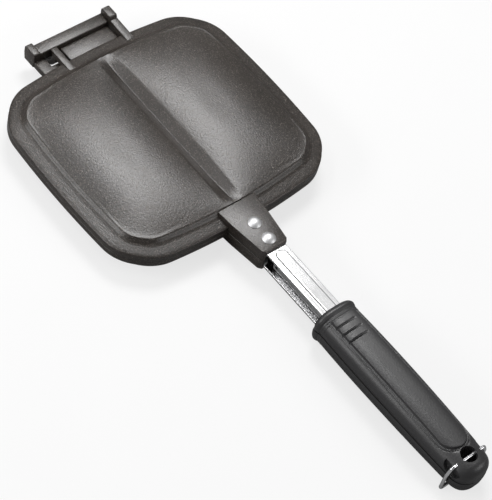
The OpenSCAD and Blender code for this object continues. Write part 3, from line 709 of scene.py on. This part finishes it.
def gripPiece(name, side):
    # superellipse sections (w cos^(2/n) a, h sin^(2/n) a) along the grip, with a raised panel and cut grooves
    length = handle["length"]
    spine = panelEnd - handle["panelHalf"]
    arcs = spine + handle["panelHalf"] * np.sin(np.radians(np.linspace(6, 90, 22)))
    tail = panelEnd + 0.3 + (length - panelEnd - 0.3) * np.sin(np.radians(np.linspace(0, 90, 44)))
    along = np.concatenate([np.linspace(0, 1, 9) ** 2 * 1.2, np.linspace(1.5, 9.5, 33), np.linspace(9.7, 26, 110),
                            np.linspace(27, spine, 60), arcs, tail])
    tailSink = handle["tailSink"] if side > 0 else 0.0
    w = (handle["halfWidth"] - fade(along, handle["frontSlim"], handle["tailSlim"]) + collar(along)
         - endRound(along, handle["frontRound"]) - endRound(length - along, handle["tailPlanRound"]))
    h = (handle["height"] - fade(along, handle["frontSink"], tailSink) + collar(along)
         - endRound(along, handle["frontRound"]) - endRound(length - along, handle["tailSideRound"]) - handle["gap"])
    n = handle["bodyPower"] - (handle["bodyPower"] - handle["tailPower"]) * (along / length) ** 3
    past = np.maximum(0, along - spine)
    p = np.sqrt(np.maximum(0.36, handle["panelHalf"] ** 2 - np.minimum(past, handle["panelHalf"]) ** 2))
    p = np.minimum(p, w * 0.66)
    foot = handle["panelFoot"]
    start = np.minimum(p + foot * 0.75, w * 0.8)
    startAngle = np.arccos(np.clip((start / w) ** (n / 2), 0, 1))
    t = np.linspace(0, 1, 27)
    bodyAngle = startAngle[:, None] * (1 - (1 - t) ** 1.35)[None, :]
    bodyY = w[:, None] * np.cos(bodyAngle) ** (2 / n[:, None])
    stepY = start[:, None] + (np.maximum(p - foot, 0) - start)[:, None] * np.linspace(0, 1, 11)[None, 1:]
    innerY = stepY[:, -1:] * (1 - np.linspace(0, 1, 15)[None, 1:])
    y = np.concatenate([bodyY, stepY, innerY], 1)
    share = np.clip(y / w[:, None], 0, 1)
    z = h[:, None] * (1 - share ** n[:, None]) ** (1 / n[:, None])
    z[:, :27] = h[:, None] * np.sin(bodyAngle) ** (2 / n[:, None])
    right = np.stack([np.repeat(along[:, None], y.shape[1], 1), y, z], -1)
    left = right[:, -2::-1] * np.array([1, -1, 1])
    points = np.concatenate([right, left], 1)
    x, y = points[..., 0], points[..., 1]
    ramp = np.clip((x - handle["panelFrom"]) / handle["panelRamp"], 0, 1)
    away = np.hypot(np.maximum(0, x - spine), y)
    limit = np.minimum(handle["panelHalf"], (w * 0.66)[:, None])
    rise = np.clip((limit + foot / 2 - away) / foot, 0, 1)
    points[..., 2] += handle["panelRise"] * ramp ** 2 * (3 - 2 * ramp) * rise ** 2 * (3 - 2 * rise)
    for out, deep in ((0.45, 0.6), (handle["creviceOut"], 1.0)):  # two fine crevices beside the panel's foot
        beside = np.clip(1 - np.abs(away - limit - out) / handle["creviceHalf"], 0, 1)
        points[..., 2] -= deep * handle["creviceDepth"] * beside ** 2 * (3 - 2 * beside) * ramp
    height = np.clip(points[..., 2] / handle["tuckHeight"], 0, 1)
    if side > 0:
        points[..., 1] -= np.sign(y) * handle["tuck"] * (1 - height) ** 1.5  # draws in above the split
    else:
        near = np.clip(1 - points[..., 2] / handle["splitRound"], 0, 1)
        points[..., 1] -= np.sign(y) * handle["splitRound"] * (1 - np.sqrt(1 - 0.9 * near ** 2))
    x, y = points[..., 0], points[..., 1]
    if side > 0:
        for index in range(3):
            at = handle["grooveAt"] + index * handle["groovePitch"]
            across = np.clip(1 - np.abs(x - at) / handle["grooveHalf"], 0, 1)
            reach = np.clip((y + 8.6) / 0.8, 0, 1) * np.clip((4.2 - y) / 5.0, 0, 1) ** 0.6
            points[..., 2] -= handle["grooveDepth"] * across ** 0.8 * reach
    points += np.array([handleStart, 0, handle["gap"]])
    stations, count = points.shape[:2]
    faces = gridFaces(stations, count, closed=True).tolist()
    faces += [list(range(count)), [(stations - 1) * count + i for i in range(count)]]
    return newPiece(name, mirrored(points.reshape(-1, 3), side), faces)


def roundedBlock(name, start, length, half, low, high, radius=2.0):
    corners = [((start + length - radius, half - radius), 0), ((start + radius, half - radius), 90),
               ((start + radius, radius - half), 180), ((start + length - radius, radius - half), 270)]
    outline = np.concatenate([arc(centre, radius, turn, turn + 90, 6) for centre, turn in corners])
    return prism(name, outline, low, high)


def between(side, low, high):  # heights on one side of the parting plane, lowest first
    return sorted([side * low, side * high])


def gripCuts(side):
    wide = shank["width"] / 2 + shank["fit"]
    deep = between(side, -1, shankBottom + 1.2)
    core = between(side, -1, 6)
    tang = between(side, shankBottom, shankTop)
    hole = [(0, -2), (handle["hangRadius"], -2), (handle["hangRadius"], 16), (0, 16)]
    hole = [(radius, side * height) for radius, height in hole]
    return [box("tang_slot", (handleStart - 1, -wide, tang[0]), (handleStart + shank["tang"], wide, tang[1])),
            roundedBlock("core", handleStart + 8, shank["tang"] - 12, 5.0, *deep),
            roundedBlock("tail_core", handleStart + shank["tang"] + 6, 26, 7.5, *core),
            turned("hang_hole", hole, (handleEnd - handle["hangInset"], 0, 0), "z", 96)]


def upperGrip():
    grips = gripPiece("upper_grip", 1)
    bore = clasp["wire"] + clasp["boreFit"]
    r, floor = clasp["relief"], clasp["reliefFloor"]
    cutters = gripCuts(1) + [
        turned("bore", [(0, -20), (bore, -20), (bore, 20), (0, 20)], (claspX, 0, clasp["height"]), "y", 40),
        turned("relief_left", [(0, -30), (r, -30), (r, -floor), (0, -floor)], (claspX, 0, clasp["height"]), "y", 96),
        turned("relief_right", [(0, floor), (r, floor), (r, 30), (0, 30)], (claspX, 0, clasp["height"]), "y", 96)]
    return carved(grips, *cutters)


def lowerGrip():
    # its tail is trimmed to an arc about the clasp's pivot, so that the wire swings past it
    grips = gripPiece("lower_grip", -1)
    arcR = clasp["reach"] - clasp["wire"] - clasp["gap"]
    notch = clasp["wire"] + clasp["gap"]
    below = np.radians(np.linspace(-90 - math.degrees(math.asin(notch / arcR)), -20, 50))
    rim = np.stack([claspX + arcR * np.cos(below), clasp["height"] + arcR * np.sin(below)], -1)
    rim = rim[rim[:, 1] < -clasp["splitStep"]]
    outline = rim.tolist() + [(rim[-1, 0], -clasp["splitStep"]), (handleEnd + 6, -clasp["splitStep"]),
                              (handleEnd + 6, -20), (rim[0, 0], -20)]
    trim = prism("trim", outline, -20, 20, axis="y")
    return carved(grips, *(gripCuts(-1) + [trim]))


dressed(upperGrip(), "upper_half", "grip_plastic", ["upper_handle"], 38)
dressed(lowerGrip(), "lower_half", "grip_plastic", ["lower_handle"], 38)
print("grip halves made")


screw = {"at": 43.0, "head": 3.6, "headThick": 2.1, "body": 1.9, "length": 6.0, "slotHalf": 0.45, "slotDepth": 0.9}


def screwPiece(name, side):
    # low dished head under the tang with a cross recess, plain body up into the grip
    head, thick = screw["head"], screw["headThick"]
    profile = [(0, -thick), (head - 0.8, -thick), (head - 0.25, -thick + 0.25), (head, -thick + 0.8), (head, 0),
               (screw["body"], 0), (screw["body"], screw["length"]), (0, screw["length"])]
    flip = [(radius, side * height) for radius, height in profile]
    at = (handleStart + screw["at"], 0, side * shankBottom)
    body = turned(name, flip, at, "z", 56)
    low = between(side, shankBottom - thick - 1, shankBottom - thick + screw["slotDepth"])
    wide, long = screw["slotHalf"], head * 0.55
    cutters = [box("slot", (at[0] - a, -b, low[0]), (at[0] + a, b, low[1])) for a, b in ((long, wide), (wide, long))]
    return carved(body, *cutters)


for half, side in (("upper", 1), ("lower", -1)):
    dressed(screwPiece(half + "_grip_screw", side), half + "_half", "screw_metal", [half + "_handle_screw"])
print("screws made")


def roundedPath(corners, radius, steps):
    # closed polygon whose corners are arcs tangent to both of their sides
    corners = np.asarray(corners, float)
    path = []
    for i, corner in enumerate(corners):
        a = corner - corners[i - 1]
        b = corners[(i + 1) % len(corners)] - corner
        a, b = a / np.linalg.norm(a), b / np.linalg.norm(b)
        turn = math.atan2(a[0] * b[1] - a[1] * b[0], a @ b)
        way = math.copysign(1, turn)
        centre = corner - a * radius * math.tan(abs(turn) / 2) + way * radius * np.array([-a[1], a[0]])
        first = math.degrees(math.atan2(a[1], a[0])) - way * 90
        path.append(arc(centre, radius, first, first + math.degrees(turn), steps))
    return np.concatenate(path)


def claspWire():
    # round wire carried along the bail: centre + r cos(a) across + r sin(a) along x
    y, drop = clasp["kneeY"], clasp["kneeDrop"]
    corners = [(-clasp["shoulderY"], 0), (-y, drop), (-y, clasp["reach"]),
               (y, clasp["reach"]), (y, drop), (clasp["shoulderY"], 0)]
    path = roundedPath(corners, clasp["bend"], 12)
    ahead = np.roll(path, -1, 0) - np.roll(path, 1, 0)
    ahead /= np.linalg.norm(ahead, axis=1, keepdims=True)
    angle = np.linspace(0, 2 * math.pi, 28, endpoint=False)
    out = clasp["wire"] * np.cos(angle)
    x = claspX + clasp["wire"] * np.repeat(np.sin(angle)[None, :], len(path), 0)
    yy = path[:, :1] - out[None, :] * ahead[:, 1:]
    down = path[:, 1:] + out[None, :] * ahead[:, :1]
    points = np.stack([x, yy, clasp["height"] - down], -1).reshape(-1, 3)
    faces = gridFaces(len(path), len(angle), closed=True)
    closing = gridFaces(2, len(angle), closed=True)
    closing = np.where(closing >= len(angle), closing - len(angle), closing + (len(path) - 1) * len(angle))
    return newPiece("clasp_bail", points, np.concatenate([faces, closing]))


dressed(claspWire(), "clasp", "clasp_steel", ["clasp_wire"], 60)
print("clasp made")


studio = {"cameraGlow": 0.72, "lowSky": 0.26, "highSky": 0.20, "offCamera": (0.30, 0.30, 0.30), "floorReach": 6.0}


def stageMaterial():
    # floor that the camera sees nearly white with its soft shadow, and other rays see as a mid grey
    material, tree, shader, place = newMaterial("pale_floor")
    rays = tree.nodes.new("ShaderNodeLightPath")
    seen = Wire(tree, rays.outputs["Is Camera Ray"]) * studio["cameraGlow"]
    mottle = noise(tree, place, 18, 2)
    pale = mixColor(tree, mottle, (0.83, 0.83, 0.83), (0.87, 0.87, 0.87))
    tint = mixColor(tree, Wire(tree, rays.outputs["Is Camera Ray"]), studio["offCamera"], pale)
    setShader(tree, shader, color=tint, roughness=0.9, specular=0.1)
    glow = node(tree, "ShaderNodeEmission", None, {"Color": (1, 1, 1, 1), "Strength": 1.0})
    blend = node(tree, "ShaderNodeMixShader", None, {0: seen, 1: Wire(tree, shader.outputs[0]), 2: glow})
    tree.links.new(blend.socket, tree.nodes["Material Output"].inputs["Surface"])
    return material


floorMesh = bpy.data.meshes.new("floor")
reach = studio["floorReach"]
corners = [(-reach, -reach, 0), (reach, -reach, 0), (reach, reach, 0), (-reach, reach, 0)]
floorMesh.from_pydata(corners, [], [(0, 1, 2, 3)])
floorMesh.materials.append(stageMaterial())
floor = bpy.data.objects.new("floor", floorMesh)
scene.collection.objects.link(floor)

world = bpy.data.worlds.new("studio")
scene.world = world
world.use_nodes = True
tree = world.node_tree
rays = tree.nodes.new("ShaderNodeLightPath")
sky = node(tree, "ShaderNodeTexCoord", output=0)
upward = node(tree, "ShaderNodeSeparateXYZ", None, {0: sky}, 2)
glow = ramp(tree, upward, (0.36, studio["lowSky"]), (0.60, studio["highSky"]))
background = tree.nodes["Background"]
background.inputs["Color"].default_value = (1, 1, 1, 1)
shown = glow.maths("MAXIMUM", Wire(tree, rays.outputs["Is Camera Ray"]))
tree.links.new(shown.socket, background.inputs["Strength"])

lamps = {
    # direction from the plates, distance, size and power of each soft lamp
    "overheadBox": {"way": (-0.36, 0.30, 0.88), "distance": 0.95, "size": (0.36, 0.30), "power": 5.2},
    "ridgeStrip": {"way": (-0.36, -0.34, 0.87), "distance": 1.2, "size": (0.9, 0.14), "power": 2.4},
    "farPanel": {"way": (-0.36, 0.50, 0.79), "distance": 1.3, "size": (0.9, 0.6), "power": 1.2},
    "leftStrip": {"way": (-0.36, -0.80, 0.46), "distance": 1.2, "size": (0.9, 0.22), "power": 5.8},
    "tailStrip": {"way": (0.75, 0.45, 0.47), "distance": 1.3, "size": (0.7, 0.25), "power": 2.5},
}
plateMiddle = Vector((rowOrigin * mm).tolist())
for name, lamp in lamps.items():
    light = bpy.data.lights.new(name, "AREA")
    light.shape = "RECTANGLE"
    light.size, light.size_y = lamp["size"]
    light.energy = lamp["power"]
    holder = bpy.data.objects.new(name, light)
    way = Vector(lamp["way"]).normalized()
    holder.location = plateMiddle + way * lamp["distance"]
    holder.rotation_euler = way.to_track_quat("Z", "Y").to_euler()
    scene.collection.objects.link(holder)

view = {
    # fitted to the photograph's outlines: degrees, millimetres and pixels
    "azimuth": 37.05, "elevation": 53.29, "roll": 16.79, "focal": 2000.0, "imageWidth": 492.0,
    "distance": 1108.2, "shiftRight": 44.30, "shiftUp": -63.13,
}
azimuth, elevation, roll = (math.radians(view[key]) for key in ("azimuth", "elevation", "roll"))
back = Vector((math.sin(azimuth) * math.cos(elevation), -math.cos(azimuth) * math.cos(elevation),
               math.sin(elevation)))
level = Vector((math.cos(azimuth), math.sin(azimuth), 0))
upright = back.cross(level)
across = level * math.cos(roll) + upright * math.sin(roll)
above = upright * math.cos(roll) - level * math.sin(roll)
eye = back * view["distance"] + across * view["shiftRight"] + above * view["shiftUp"]
camera = bpy.data.cameras.new("camera")
camera.sensor_fit = "HORIZONTAL"
camera.sensor_width = 36.0
camera.lens = camera.sensor_width * view["focal"] / view["imageWidth"]
camera.clip_start = 0.01
seat = bpy.data.objects.new("camera", camera)
turn = Matrix((across, above, back)).transposed().to_4x4()
seat.matrix_world = Matrix.Translation(plateMiddle + eye * mm) @ turn
scene.collection.objects.link(seat)
scene.camera = seat
scene.view_settings.view_transform = "Standard"
print("stage, lamps and camera set")
